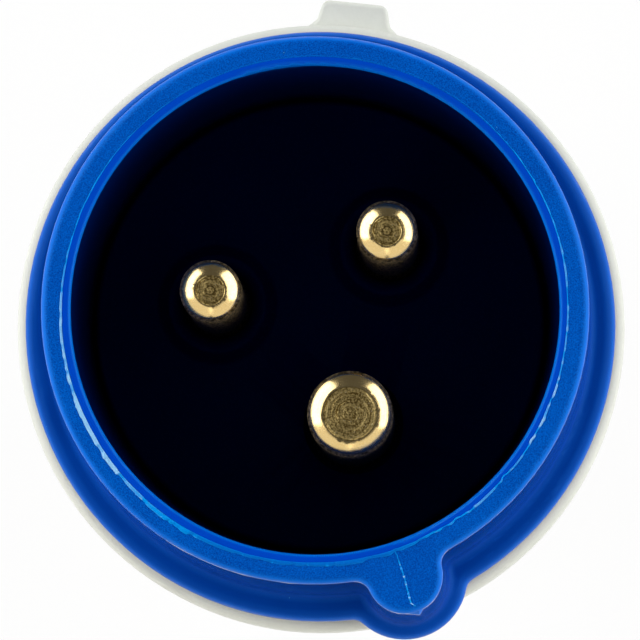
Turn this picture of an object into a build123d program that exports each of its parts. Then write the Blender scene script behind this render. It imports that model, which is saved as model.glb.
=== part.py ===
from build123d import *
import os
from math import acos, atan2, cos, degrees, radians, sin, tan

# Industrial plug, 16 A, two poles and earth, for a pin-and-sleeve connector. Sizes are in millimetres.
# The plug stands on the end face of its gland nut: +Z runs up its axis to the mouth of the shroud,
# +X is to the right and +Y is up for someone who looks into the mouth, with the key at the bottom.

# Shroud: the blue tube round the pins, with its flange and the skirt that goes into the housing
mouth_r = 19.8
mouth_lead_width = 0.65
mouth_lead_depth = 0.15
mouth_edge_round = 0.4
bore_draft = 0.8
rim_width = 2.4
rim_round = 0.7
shroud_length = 45.0
shroud_draft = 0.4
flange_step = 0.84
flange_thickness = 6.0
flange_edge_round = 1.1
flange_root_fillet = 0.8
carrier_seat_width = 1.3
skirt_wall = 2.3
skirt_length = 9.5

# Key nose on the shroud and the bulge of the flange behind it
key_lead = 0.47
key_r = 3.1
key_root_fillet = 0.9
bulge_rim = 1.8
bulge_root_fillet = 1.2

# Pins on their circle: the line pin to the right, the neutral pin to the left, the earth pin at the key
pin_to_axis = 8.75
line_angle = 30.0
neutral_angle = 150.0
earth_angle = 270.0
live_pin_r = 2.5
live_face_r = 1.24
earth_pin_r = 3.5
earth_face_r = 2.22
tip_edge_angle = 20.0
tip_side_angle = 42.0
tip_side_round = 0.7
tip_side_run = 0.05
tip_depth = 4.6
foot_step = 0.25
collar_step = 2.4
collar_thickness = 2.0
live_sleeve_r = 4.2
earth_sleeve_r = 4.7
sleeve_end_round = 0.3
sleeve_length = 21.5
live_wire_r = 2.0
earth_wire_r = 2.3
wire_depth = 11.0
terminal_screw_height = 4.0

# Pin carrier: the round block that closes the shroud's floor
floor_depth = 42.5
carrier_disc_thickness = 3.0
carrier_flange_thickness = 3.0
carrier_edge_round = 0.4
boss_wall = 1.1
boss_slope = 1.05
boss_height = 1.8
boss_round = 0.3
live_hole_gap = 0.5
earth_hole_gap = 0.7
pin_fit_depth = 1.5

# Pin retainer: the plate that traps the pin collars, with three insulating webs
retainer_thickness = 3.5
web_thickness = 1.6
web_end_gap = 3.4
web_length = 16.0
web_hub_r = 2.6

# Retainer screws
retainer_screw_inset = 4.7
retainer_screw_angles = {"top": 90.0, "left": 210.0, "right": 330.0}
retainer_screw_r = 1.5
retainer_screw_head_r = 2.6
retainer_screw_head_height = 1.8
retainer_screw_head_round = 0.5
retainer_screw_grip = 4.2
retainer_screw_point = 0.4

# Terminal screws and the leaves that press on the wires
terminal_screw_r = 1.9
terminal_head_r = 3.3
terminal_head_height = 2.2
terminal_head_gap = 1.2
terminal_head_round = 0.4
terminal_screw_point = 0.3
screw_slot_width = 0.8
screw_slot_depth = 0.9
leaf_thickness = 0.6
leaf_width = 2.4
leaf_length = 6.5
leaf_offset = 1.3
leaf_hook_inset = 0.4

# Catches that hold the retainer in the skirt, and the rib that keys the carrier there
catch_reach = 0.6
catch_height = 1.3
catch_arc = 20.0
index_rib_width = 3.0
index_rib_reach = 1.0

# Seal ring in its groove on the skirt
seal_groove_depth = 1.15
seal_groove_width = 1.9
seal_groove_drop = 1.8

# Bayonet between skirt and housing, and the latch under the housing's lug
bayonet_offsets = (60.0, 180.0, 300.0)
stud_arc = 9.0
stud_slot_arc = 11.0
stud_height = 1.8
stud_reach = 1.0
stud_drop = 6.6
bayonet_turn = 16.0
latch_clock_angle = 24.6
latch_width = 3.2
latch_height = 3.0
latch_reach = 2.0
latch_lead = 0.3
latch_slit_width = 0.8
latch_slit_length = 4.4

# Rear housing: the light grey body, its lug, its grip ribs and the threaded neck
barrel_wall = 2.87
cone_wall = 2.6
housing_edge_round = 0.9
barrel_length = 17.0
barrel_blend = 25.0
body_length = 43.0
shoulder_r = 17.6
shoulder_height = 4.0
shoulder_blend = 8.0
shoulder_round = 1.5
chamber_floor = 4.5
chamber_round = 3.0
chamber_blend = 20.0
throat_round = 1.5
neck_r = 14.0
neck_length = 18.6
neck_bore_r = 10.6
throat_step = 1.6
neck_relief_depth = 0.8
neck_relief_length = 3.0
neck_chamfer = 0.8
lug_height = 2.13
lug_top_width = 5.4
lug_base_width = 6.2
lug_length = 11.0
lug_drop = 1.8
lug_corner_round = 0.8
lug_edge_round = 0.4
lug_flare = 0.8
release_slot_width = 2.2
release_slot_height = 0.9
rib_count = 24
rib_height = 0.6
rib_arc = 5.0
rib_start = 3.6
rib_end_gap = 5.0
rib_end_slope = 0.8

# Gland: sealing bush, slip ring, clamping collet and nut
bush_length = 11.6
bush_bore_r = 6.5
bush_chamfer = 0.8
slip_ring_thickness = 1.5
slip_ring_bore_r = 7.4
collet_base_thickness = 2.8
collet_base_gap = 0.45
collet_bore_gap = 0.3
collet_length = 12.0
collet_slots = 8
collet_slot_width = 1.6
nut_end_wall = 3.0
nut_wall = 3.25
nut_end_taper = 1.8
nut_end_round = 1.2
nut_taper_length = 10.0
nut_taper_blend = 12.0
nut_top_round = 1.0
nut_top_gap = 1.5
nut_cone_step = 1.45
nut_lip = 1.1
cable_hole_r = 8.0
cable_hole_round = 0.4
flute_count = 14
flute_r = 2.4
flute_depth = 0.75
flute_margin = 3.6

# Clearances between pieces
slide_gap = 0.15
fit_gap = 0.05
seat_gap = 0.1
thread_gap = 0.15
joint_gap = 0.2

# How far a lump reaches into the wall that carries it, and a cutter past the face that it opens
root_depth = 0.5
clear_cut = 1.0

# Edges count as level within this height
same_height = 0.001

# Radii of the shroud, flange, skirt and housing, counted outwards from the mouth
bore_root_r = mouth_r - bore_draft
shroud_rim_r = mouth_r + rim_width
shroud_root_r = shroud_rim_r + shroud_draft
skirt_bore_r = bore_root_r + carrier_seat_width
skirt_r = skirt_bore_r + skirt_wall
housing_bore_r = skirt_r + joint_gap
housing_r = housing_bore_r + barrel_wall
flange_r = housing_r - flange_step
lug_reach = housing_r + lug_height
key_offset = shroud_rim_r + key_lead
bulge_offset = shroud_rim_r
bulge_r = key_r + shroud_draft + bulge_rim
retainer_screw_to_axis = skirt_bore_r - retainer_screw_inset

# Radii of the carrier's holes and of the gland's pieces
live_hole_r = live_pin_r + live_hole_gap
earth_hole_r = earth_pin_r + earth_hole_gap
boss_top_r = live_hole_r + boss_wall
boss_root_r = boss_top_r + boss_slope
throat_r = neck_bore_r - throat_step
nut_bore_r = neck_r + thread_gap
nut_r = nut_bore_r + nut_wall
nut_end_r = nut_r - nut_end_taper
nut_cone_mouth_r = nut_bore_r - nut_cone_step
nut_cone_end_r = cable_hole_r + nut_lip
collet_base_r = nut_bore_r - collet_base_gap
collet_bore_r = cable_hole_r + collet_bore_gap

# Heights of the stack, counted from the nut's end face
collet_end_z = nut_end_wall + seat_gap
neck_end_z = collet_end_z + collet_length + seat_gap
shoulder_z = neck_end_z + neck_length
housing_front_z = shoulder_z + body_length
flange_front_z = housing_front_z + flange_thickness
rim_z = flange_front_z + shroud_length
floor_z = rim_z - floor_depth
carrier_seat_z = floor_z - carrier_disc_thickness
carrier_back_z = carrier_seat_z - carrier_flange_thickness
retainer_back_z = carrier_back_z - retainer_thickness
sleeve_end_z = carrier_back_z - sleeve_length
terminal_screw_z = sleeve_end_z + terminal_screw_height
skirt_end_z = housing_front_z - skirt_length
seal_z = housing_front_z - seal_groove_drop - seal_groove_width / 2
stud_z = housing_front_z - stud_drop
bush_z = neck_end_z + slip_ring_thickness
throat_z = bush_z + bush_length
latch_angle = 90 - latch_clock_angle
bayonet_angles = [latch_angle + offset for offset in bayonet_offsets]
taper_angle = degrees(atan2(shroud_draft, shroud_length))


def outline(*corners):
    """Closed flat face. Each corner is (x, y), or (x, y, fillet radius)."""
    points = [corner[:2] for corner in corners]
    radii = [corner[2] if len(corner) > 2 else 0 for corner in corners]
    return make_face(FilletPolyline(*points, radius=radii, close=True))


def turned(*corners, arc=360):
    """Solid turned about Z from an outline of (radius, height) corners."""
    return revolve(Plane.XZ * outline(*corners), Axis.Z, revolution_arc=arc)


def ring(inner_r, outer_r, low, high, arc=360, middle=0):
    """Plain ring about Z, or a sector of one with its middle at an angle."""
    sector = turned((inner_r, low), (outer_r, low), (outer_r, high), (inner_r, high), arc=arc)
    return Rot(0, 0, middle - arc / 2) * sector


def rod(r, low, high, x=0, y=0):
    """Upright cylinder between two heights."""
    return Pos(x, y, low) * Cylinder(r, high - low, align=(Align.CENTER, Align.CENTER, Align.MIN))


def block(x, y, z):
    """Box given by its lowest and highest value along each axis."""
    corner = Box(x[1] - x[0], y[1] - y[0], z[1] - z[0], align=(Align.MIN, Align.MIN, Align.MIN))
    return Pos(x[0], y[0], z[0]) * corner


def turn(angle):
    """Turn about Z that carries +X to an angle."""
    return Rot(0, 0, angle)


def polar(r, angle):
    """Point in the plane at a radius and an angle."""
    return r * cos(radians(angle)), r * sin(radians(angle))


def keyed_disc(r, offset, nose_r, root_fillet):
    """Disc with a round nose towards -Y and a concave fillet at both of its roots.

    A fillet's centre lies at r + fillet from the axis and at nose_r + fillet from the nose's centre.
    """
    to_centre = r + root_fillet
    to_nose = nose_r + root_fillet
    spread = acos((to_centre**2 + offset**2 - to_nose**2) / (2 * to_centre * offset))
    nose = Vector(0, -offset)
    centre = Vector(to_centre * sin(spread), -to_centre * cos(spread))
    on_disc = centre * (r / to_centre)
    on_nose = nose + (centre - nose) * (nose_r / to_nose)
    hollow = centre + ((on_disc + on_nose) * 0.5 - centre).normalized() * root_fillet

    def mirrored(point):
        return Vector(-point.X, point.Y)

    arcs = [
        ThreePointArc(on_disc, (0, r), mirrored(on_disc)),
        ThreePointArc(mirrored(on_disc), mirrored(hollow), mirrored(on_nose)),
        ThreePointArc(mirrored(on_nose), nose + Vector(0, -nose_r), on_nose),
        ThreePointArc(on_nose, hollow, on_disc),
    ]
    return make_face(arcs)


def edges_at(solid, height):
    """Edges that lie flat at a height."""
    level = solid.edges().filter_by(lambda edge: abs(edge.center().Z - height) < same_height)
    return level.filter_by(lambda edge: edge.bounding_box().size.Z < same_height)


def make_shroud():
    """Shroud, flange, key nose and skirt, moulded as one piece."""
    section = keyed_disc(shroud_root_r, key_offset, key_r + shroud_draft, key_root_fillet)
    tube = Pos(0, 0, flange_front_z) * extrude(section, shroud_length, taper=taper_angle)
    tube = fillet(edges_at(tube, rim_z), rim_round)
    plate = keyed_disc(flange_r, bulge_offset, bulge_r, bulge_root_fillet)
    flange = Pos(0, 0, housing_front_z) * extrude(plate, flange_thickness)
    flange = fillet(edges_at(flange, flange_front_z), flange_edge_round)
    body = flange + tube
    root = [edge for edge in edges_at(body, flange_front_z) if near_shroud(edge)]
    body = fillet(root, flange_root_fillet)

    body += rod(skirt_r, skirt_end_z, housing_front_z)
    lead_r = mouth_r + mouth_lead_width
    body -= turned(
        (0, skirt_end_z - clear_cut),
        (skirt_bore_r, skirt_end_z - clear_cut),
        (skirt_bore_r, carrier_seat_z),
        (bore_root_r, carrier_seat_z),
        (mouth_r, rim_z - mouth_lead_depth, mouth_edge_round),
        (lead_r, rim_z),
        (lead_r, rim_z + clear_cut),
        (0, rim_z + clear_cut),
    )
    skirt_past_r = skirt_r + clear_cut
    body -= ring(skirt_r - seal_groove_depth, skirt_past_r, seal_z - seal_groove_width / 2,
                 seal_z + seal_groove_width / 2)

    catch_top = retainer_back_z - seat_gap
    catch_face = skirt_bore_r - catch_reach
    catch = turned(
        (skirt_bore_r + root_depth, catch_top),
        (catch_face, catch_top),
        (catch_face, catch_top - catch_height / 3),
        (skirt_bore_r, catch_top - catch_height),
        (skirt_bore_r + root_depth, catch_top - catch_height),
        arc=catch_arc,
    )
    for angle in (line_angle, neutral_angle, earth_angle):
        body += turn(angle - catch_arc / 2) * catch
    body += turn(90) * block(
        (skirt_bore_r - index_rib_reach, skirt_bore_r + root_depth),
        (-index_rib_width / 2, index_rib_width / 2),
        (retainer_back_z, carrier_seat_z),
    )

    floor_r = skirt_r - stud_reach - joint_gap
    slot_low = stud_z - stud_height / 2 - slide_gap
    slot_high = stud_z + stud_height / 2 + slide_gap
    for angle in bayonet_angles:
        body -= ring(floor_r, skirt_past_r, slot_low, slot_high, stud_slot_arc + bayonet_turn,
                     angle + bayonet_turn / 2)
        body -= ring(floor_r, skirt_past_r, skirt_end_z - clear_cut, slot_high, stud_slot_arc,
                     angle + bayonet_turn)

    tooth = Plane.XZ * outline(
        (skirt_r - root_depth, skirt_end_z),
        (skirt_r + latch_lead, skirt_end_z),
        (skirt_r + latch_reach, skirt_end_z + latch_height / 2),
        (skirt_r + latch_reach, skirt_end_z + latch_height),
        (skirt_r - root_depth, skirt_end_z + latch_height),
    )
    body += turn(latch_angle) * Pos(0, latch_width / 2, 0) * extrude(tooth, latch_width)
    for side in (-1, 1):
        middle = side * (latch_width / 2 + latch_slit_width)
        body -= turn(latch_angle) * block(
            (skirt_bore_r - clear_cut, skirt_past_r),
            (middle - latch_slit_width / 2, middle + latch_slit_width / 2),
            (skirt_end_z - clear_cut, skirt_end_z + latch_slit_length),
        )
    return body


def near_shroud(edge):
    """True for the edges of the flange face where the shroud grows out of it."""
    middle = edge @ 0.5
    to_axis = Vector(middle.X, middle.Y).length
    to_key = (Vector(middle.X, middle.Y) - Vector(0, -key_offset)).length
    return to_axis < shroud_root_r + seat_gap or to_key < key_r + shroud_draft + key_root_fillet


def pin_kinds():
    """Name, angle and sizes of each of the three pins."""
    boss_z = floor_z + boss_height
    live = (live_pin_r, live_face_r, live_sleeve_r, live_wire_r, live_hole_r, boss_z)
    earth = (earth_pin_r, earth_face_r, earth_sleeve_r, earth_wire_r, earth_hole_r, floor_z)
    return {"line": (line_angle, *live), "neutral": (neutral_angle, *live), "earth": (earth_angle, *earth)}


def make_carrier():
    """Round block with a hole for each pin and a raised ring round the two live ones."""
    disc_r = bore_root_r - slide_gap
    flange_out = skirt_bore_r - slide_gap
    body = turned(
        (0, carrier_back_z),
        (flange_out, carrier_back_z),
        (flange_out, carrier_seat_z - seat_gap),
        (disc_r, carrier_seat_z - seat_gap),
        (disc_r, floor_z, carrier_edge_round),
        (0, floor_z),
    )
    boss = turned(
        (0, floor_z - root_depth),
        (boss_root_r, floor_z - root_depth),
        (boss_root_r, floor_z),
        (boss_top_r, floor_z + boss_height, boss_round),
        (0, floor_z + boss_height),
    )
    for angle, pin_r, _, _, _, hole_r, mouth_z in pin_kinds().values():
        x, y = polar(pin_to_axis, angle)
        if mouth_z > floor_z:
            body += Pos(x, y, 0) * boss
        recess_z = carrier_back_z + collar_thickness + fit_gap
        fit_end_z = recess_z + pin_fit_depth
        body -= rod(pin_r + collar_step + fit_gap, carrier_back_z - clear_cut, recess_z, x, y)
        body -= rod(pin_r + foot_step + fit_gap, recess_z - root_depth, fit_end_z + root_depth, x, y)
        body -= rod(hole_r, fit_end_z, mouth_z + clear_cut, x, y)
    for angle in retainer_screw_angles.values():
        x, y = polar(retainer_screw_to_axis, angle)
        hole_end_z = carrier_back_z + retainer_screw_grip + retainer_screw_point
        body -= rod(retainer_screw_r + fit_gap, carrier_back_z - clear_cut, hole_end_z, x, y)
    return body - index_notch(carrier_back_z - clear_cut, carrier_seat_z)


def index_notch(low, high):
    """Notch that lets a round piece past the index rib in the skirt."""
    half = index_rib_width / 2 + slide_gap
    inner = skirt_bore_r - index_rib_reach - slide_gap
    return turn(90) * block((inner, skirt_bore_r + clear_cut), (-half, half), (low, high))


def make_retainer():
    """Plate behind the pin collars, with a hub and three webs between the terminals."""
    body = rod(skirt_bore_r - slide_gap, retainer_back_z, carrier_back_z)
    web_end_z = retainer_back_z - web_length
    web_reach = retainer_screw_to_axis - web_end_gap
    past = (retainer_back_z - clear_cut, carrier_back_z + clear_cut)
    body += rod(web_hub_r, web_end_z, retainer_back_z)
    for angle in retainer_screw_angles.values():
        body += turn(angle) * block(
            (0, web_reach), (-web_thickness / 2, web_thickness / 2), (web_end_z, retainer_back_z)
        )
        x, y = polar(retainer_screw_to_axis, angle)
        body -= rod(retainer_screw_r + slide_gap, *past, x, y)
    for angle, _, _, sleeve_r, _, _, _ in pin_kinds().values():
        x, y = polar(pin_to_axis, angle)
        body -= rod(sleeve_r + slide_gap, *past, x, y)
    return body - index_notch(*past)


def make_pin(angle, pin_r, face_r, sleeve_r, wire_r, hole_r, mouth_z):
    """Contact pin turned with its foot, collar and terminal sleeve, bored for the wire and the screw.

    The tip is a low dome that was faced off flat. It meets the flat at an edge, steepens outwards up to
    its side angle, and a round and a short straight run between them take it down to the wall.
    """
    foot_r = pin_r + foot_step
    collar_z = carrier_back_z + collar_thickness
    tip_z = rim_z - tip_depth
    edge, side = radians(tip_edge_angle), radians(tip_side_angle)
    side_width = tip_side_round * (1 - sin(side)) + tip_side_run * cos(side)
    dome_r = (pin_r - face_r - side_width) / (sin(side) - sin(edge))
    dome_z = tip_z + dome_r * (1 - cos(edge))
    corner_r = face_r - dome_r * sin(edge) + dome_r * tan(side / 2)
    side_z = dome_z - (pin_r - corner_r) * tan(side)
    body = turned(
        (0, sleeve_end_z),
        (sleeve_r, sleeve_end_z, sleeve_end_round),
        (sleeve_r, carrier_back_z),
        (pin_r + collar_step, carrier_back_z),
        (pin_r + collar_step, collar_z),
        (foot_r, collar_z),
        (foot_r, mouth_z - foot_step),
        (pin_r, mouth_z),
        (pin_r, side_z, tip_side_round),
        (corner_r, dome_z, dome_r),
        (0, dome_z),
    )
    body -= rod(pin_r, tip_z, dome_z + clear_cut)
    body -= rod(wire_r, sleeve_end_z - clear_cut, sleeve_end_z + wire_depth)
    screw_hole = rod(terminal_screw_r + fit_gap, 0, sleeve_r + clear_cut)
    body -= Pos(0, 0, terminal_screw_z) * Rot(0, 90, 0) * screw_hole
    x, y = polar(pin_to_axis, angle)
    return Pos(x, y, 0) * turn(angle) * body


def leaf_face(wire_r):
    """Distance from the wire's axis to the leaf's outer face, where the screw's tip rests."""
    return leaf_offset + (wire_r - live_wire_r)


def make_terminal_screw(angle, sleeve_r, wire_r):
    """Slotted cheese-head screw that points at the pin's axis from outside."""
    tip = leaf_face(wire_r) + fit_gap
    seat = sleeve_r + terminal_head_gap
    screw = turned(
        (0, tip),
        (terminal_screw_r - terminal_screw_point, tip),
        (terminal_screw_r, tip + terminal_screw_point),
        (terminal_screw_r, seat),
        (terminal_head_r, seat),
        (terminal_head_r, seat + terminal_head_height, terminal_head_round),
        (0, seat + terminal_head_height),
    )
    screw -= screw_slot(terminal_head_r, seat + terminal_head_height)
    x, y = polar(pin_to_axis, angle)
    return Pos(x, y, terminal_screw_z) * turn(angle) * Rot(0, 90, 0) * screw


def screw_slot(head_r, head_z):
    """Cutter for the slot of a screw, as deep above the head's face as below it."""
    reach = head_r + clear_cut
    half = screw_slot_width / 2
    return block((-reach, reach), (-half, half), (head_z - screw_slot_depth, head_z + screw_slot_depth))


def make_leaf(angle, sleeve_r, wire_r):
    """Bent strip between screw and wire, hooked over the mouth of the sleeve."""
    outer = leaf_face(wire_r)
    inner = outer - leaf_thickness
    hook_z = sleeve_end_z - fit_gap
    hook_r = sleeve_r - leaf_hook_inset
    strip = Plane.XZ * outline(
        (inner, sleeve_end_z + leaf_length),
        (inner, hook_z - leaf_thickness),
        (hook_r, hook_z - leaf_thickness),
        (hook_r, hook_z),
        (outer, hook_z),
        (outer, sleeve_end_z + leaf_length),
    )
    x, y = polar(pin_to_axis, angle)
    return Pos(x, y, 0) * turn(angle) * Pos(0, leaf_width / 2, 0) * extrude(strip, leaf_width)


def make_retainer_screw(angle):
    """Slotted self-tapping screw, driven from behind through the retainer into the carrier."""
    seat = retainer_back_z - fit_gap
    head_z = seat - retainer_screw_head_height
    tip_z = carrier_back_z + retainer_screw_grip
    screw = turned(
        (0, head_z),
        (retainer_screw_head_r, head_z, retainer_screw_head_round),
        (retainer_screw_head_r, seat),
        (retainer_screw_r, seat),
        (retainer_screw_r, tip_z - retainer_screw_point),
        (retainer_screw_r - retainer_screw_point, tip_z),
        (0, tip_z),
    )
    screw -= screw_slot(retainer_screw_head_r, head_z)
    x, y = polar(retainer_screw_to_axis, angle)
    return Pos(x, y, 0) * turn(angle) * screw


def make_seal():
    """Round-section ring in the skirt's groove, against the housing's bore."""
    groove_floor_r = skirt_r - seal_groove_depth
    section_r = (housing_bore_r - groove_floor_r) / 2 - fit_gap / 2
    middle_r = (housing_bore_r + groove_floor_r) / 2
    return revolve(Plane.XZ * Pos(middle_r, seal_z) * Circle(section_r), Axis.Z)


cone_low_z = shoulder_z + shoulder_height
cone_high_z = housing_front_z - barrel_length
cone_slope = atan2(housing_r - shoulder_r, cone_high_z - cone_low_z)


def cone_r(height):
    """Radius of the housing's outer cone at a height."""
    return shoulder_r + (height - cone_low_z) * tan(cone_slope)


def make_housing():
    """Hollow body with its lug, bayonet studs, grip ribs and threaded neck."""
    wall = cone_wall / cos(cone_slope)
    chamber_z = shoulder_z + chamber_floor
    bore_low_z = cone_low_z + (housing_bore_r + wall - shoulder_r) / tan(cone_slope)
    relief_r = neck_r - neck_relief_depth
    body = turned(
        (housing_bore_r, housing_front_z),
        (housing_r, housing_front_z, housing_edge_round),
        (housing_r, cone_high_z, barrel_blend),
        (shoulder_r, cone_low_z, shoulder_blend),
        (shoulder_r, shoulder_z, shoulder_round),
        (relief_r, shoulder_z),
        (relief_r, shoulder_z - neck_relief_length),
        (neck_r, shoulder_z - neck_relief_length),
        (neck_r, neck_end_z + neck_chamfer),
        (neck_r - neck_chamfer, neck_end_z),
        (neck_bore_r, neck_end_z),
        (neck_bore_r, throat_z),
        (throat_r, throat_z),
        (throat_r, chamber_z, throat_round),
        (cone_r(chamber_z) - wall, chamber_z, chamber_round),
        (housing_bore_r, bore_low_z, chamber_blend),
    )
    rib_low = cone_low_z + rib_start
    rib_high = cone_high_z - rib_end_gap
    rib = turned(
        (cone_r(rib_low) - root_depth, rib_low),
        (cone_r(rib_low), rib_low),
        (cone_r(rib_low + rib_end_slope) + rib_height, rib_low + rib_end_slope),
        (cone_r(rib_high - rib_end_slope) + rib_height, rib_high - rib_end_slope),
        (cone_r(rib_high), rib_high),
        (cone_r(rib_high) - root_depth, rib_high),
        arc=rib_arc,
    )
    for index in range(rib_count):
        body += turn(index * 360 / rib_count) * rib

    body += make_lug()
    pocket_half = latch_width / 2 + joint_gap
    pocket_r = skirt_r + latch_reach + joint_gap
    pocket_low = skirt_end_z - joint_gap
    body -= turn(latch_angle) * block(
        (housing_bore_r - clear_cut, pocket_r),
        (-pocket_half, pocket_half),
        (pocket_low, skirt_end_z + latch_height + joint_gap),
    )
    lug_low = housing_front_z - lug_drop - lug_length
    body -= turn(latch_angle) * block(
        (pocket_r - release_slot_height, pocket_r),
        (-release_slot_width / 2, release_slot_width / 2),
        (lug_low - clear_cut, pocket_low + root_depth),
    )
    for angle in bayonet_angles:
        body += ring(skirt_r - stud_reach, housing_bore_r + root_depth, stud_z - stud_height / 2,
                     stud_z + stud_height / 2, stud_arc, angle)
    return body


def make_lug():
    """Lug on the outside of the housing, over the latch."""
    foot = lug_base_width / 2 + lug_flare
    foot_r = (housing_r**2 - foot**2) ** 0.5 - fit_gap
    base_r = housing_r + lug_flare / 2
    inner_r = (housing_bore_r + housing_r) / 2 - root_depth
    section = outline(
        (inner_r, -foot),
        (foot_r, -foot),
        (base_r, -lug_base_width / 2, lug_flare),
        (lug_reach, -lug_top_width / 2, lug_corner_round),
        (lug_reach, lug_top_width / 2, lug_corner_round),
        (base_r, lug_base_width / 2, lug_flare),
        (foot_r, foot),
        (inner_r, foot),
    )
    low = housing_front_z - lug_drop - lug_length
    lug = Pos(0, 0, low) * extrude(section, lug_length)
    lug = fillet(edges_at(lug, low + lug_length), lug_edge_round)
    return turn(latch_angle) * lug


def make_bush():
    """Rubber bush that seals round the cord, in the neck's bore."""
    out_r = neck_bore_r - seat_gap
    low = bush_z + fit_gap
    high = throat_z - fit_gap
    return turned(
        (bush_bore_r + bush_chamfer, low),
        (out_r, low),
        (out_r, high - bush_chamfer),
        (out_r - bush_chamfer, high),
        (bush_bore_r, high),
        (bush_bore_r, low + bush_chamfer),
    )


def make_slip_ring():
    """Washer between collet and bush, so that the bush isn't twisted."""
    return ring(slip_ring_bore_r, neck_bore_r - slide_gap, neck_end_z, bush_z)


def nut_cone_r(height):
    """Radius of the cone inside the nut at a height."""
    rise = (nut_cone_mouth_r - nut_cone_end_r) / (nut_thread_end_z - nut_end_wall)
    return nut_cone_end_r + (height - nut_end_wall) * rise


collet_base_z = neck_end_z - fit_gap - collet_base_thickness
nut_thread_end_z = collet_base_z - seat_gap


def make_collet():
    """Clamping collet: a base ring and tapered fingers that the nut's cone closes on the cord."""
    top = neck_end_z - fit_gap
    body = turned(
        (collet_bore_r, collet_end_z),
        (nut_cone_r(collet_end_z) - slide_gap, collet_end_z),
        (nut_cone_r(collet_base_z) - slide_gap, collet_base_z),
        (collet_base_r, collet_base_z),
        (collet_base_r, top),
        (collet_bore_r, top),
    )
    half = collet_slot_width / 2
    for index in range(collet_slots):
        body -= turn(index * 360 / collet_slots) * block(
            (0, nut_cone_mouth_r + clear_cut), (-half, half), (collet_end_z - clear_cut, collet_base_z)
        )
    return body


def make_nut():
    """Gland nut: its flat end is what the plug stands on, and the cord enters through it."""
    nut_top_z = shoulder_z - nut_top_gap
    body = turned(
        (cable_hole_r, 0, cable_hole_round),
        (nut_end_r, 0, nut_end_round),
        (nut_r, nut_taper_length, nut_taper_blend),
        (nut_r, nut_top_z, nut_top_round),
        (nut_bore_r, nut_top_z),
        (nut_bore_r, nut_thread_end_z),
        (nut_cone_mouth_r, nut_thread_end_z),
        (nut_cone_end_r, nut_end_wall),
        (cable_hole_r, nut_end_wall),
    )
    flute_x = nut_r + flute_r - flute_depth
    flute = rod(flute_r, flute_margin, nut_top_z - flute_margin, flute_x)
    for index in range(flute_count):
        body -= turn(index * 360 / flute_count) * flute
    return body


def make_pieces():
    """Every piece of the plug by name."""
    pieces = {
        "front_shroud": make_shroud(),
        "pin_carrier": make_carrier(),
        "pin_retainer": make_retainer(),
        "housing_seal": make_seal(),
        "rear_housing": make_housing(),
        "gland_bush": make_bush(),
        "gland_slip_ring": make_slip_ring(),
        "gland_collet": make_collet(),
        "gland_nut": make_nut(),
    }
    for name, sizes in pin_kinds().items():
        angle, _, _, sleeve_r, wire_r, _, _ = sizes
        pieces[name + "_pin"] = make_pin(*sizes)
        pieces[name + "_terminal_screw"] = make_terminal_screw(angle, sleeve_r, wire_r)
        pieces[name + "_wire_leaf"] = make_leaf(angle, sleeve_r, wire_r)
    for place, angle in retainer_screw_angles.items():
        pieces["retainer_screw_" + place] = make_retainer_screw(angle)
    return pieces


os.makedirs("parts", exist_ok=True)
for name, piece in make_pieces().items():
    export_step(piece, "parts/" + name + ".step")
    print(name, round(piece.volume, 1))
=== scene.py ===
from math import cos, degrees, pi, radians, sin

import bpy
import numpy as np
from mathutils import Matrix, Vector


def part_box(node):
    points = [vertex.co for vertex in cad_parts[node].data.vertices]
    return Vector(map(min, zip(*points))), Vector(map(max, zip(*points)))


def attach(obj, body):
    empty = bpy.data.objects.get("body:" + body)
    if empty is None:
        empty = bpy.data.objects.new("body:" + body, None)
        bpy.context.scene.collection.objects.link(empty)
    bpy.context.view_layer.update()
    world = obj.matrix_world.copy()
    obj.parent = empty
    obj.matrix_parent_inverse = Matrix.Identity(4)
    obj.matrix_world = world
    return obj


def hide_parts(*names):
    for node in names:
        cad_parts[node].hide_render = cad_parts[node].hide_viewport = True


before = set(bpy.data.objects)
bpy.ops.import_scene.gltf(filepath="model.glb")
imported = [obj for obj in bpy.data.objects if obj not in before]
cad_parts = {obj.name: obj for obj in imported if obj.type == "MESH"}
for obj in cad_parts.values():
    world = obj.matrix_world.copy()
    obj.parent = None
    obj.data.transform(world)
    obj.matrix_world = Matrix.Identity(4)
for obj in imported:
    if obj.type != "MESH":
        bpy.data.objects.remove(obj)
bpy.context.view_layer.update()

# The plug stands on its gland nut, mouth up, and the camera looks down into the mouth from far off,
# as the photograph does: a little to one side of the axis, and rolled so that the key is lower right.
MM = 0.001
PICTURE = 640
FOCAL_PIXELS = 14270.0
SENSOR_MM = 36.0
RIM_DISTANCE = 1155 * MM
RIM_PIXEL = (315.1, 309.9)
AXIS_VANISHING_PIXEL = (455.0, 746.0)
KEY_ROLL = radians(18.6)
NEAREST, FARTHEST = 0.05, 20.0

RIM_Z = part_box("front_shroud")[1].z


def ray(pixel):
    """Direction from the camera through a pixel: (x - centre, centre - y) over the focal length, and -1."""
    middle = PICTURE / 2
    return Vector(((pixel[0] - middle) / FOCAL_PIXELS, (middle - pixel[1]) / FOCAL_PIXELS, -1.0))


axis_seen = -ray(AXIS_VANISHING_PIXEL).normalized()
twelve_seen = Vector((-sin(KEY_ROLL), cos(KEY_ROLL), 0.0))
twelve_seen = (twelve_seen - axis_seen * twelve_seen.dot(axis_seen)).normalized()
right_seen = twelve_seen.cross(axis_seen)
object_to_camera = Matrix((right_seen, twelve_seen, axis_seen)).transposed()
camera_turn = object_to_camera.transposed()
camera_place = Vector((0, 0, RIM_Z)) - camera_turn @ (ray(RIM_PIXEL) * RIM_DISTANCE)

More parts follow.
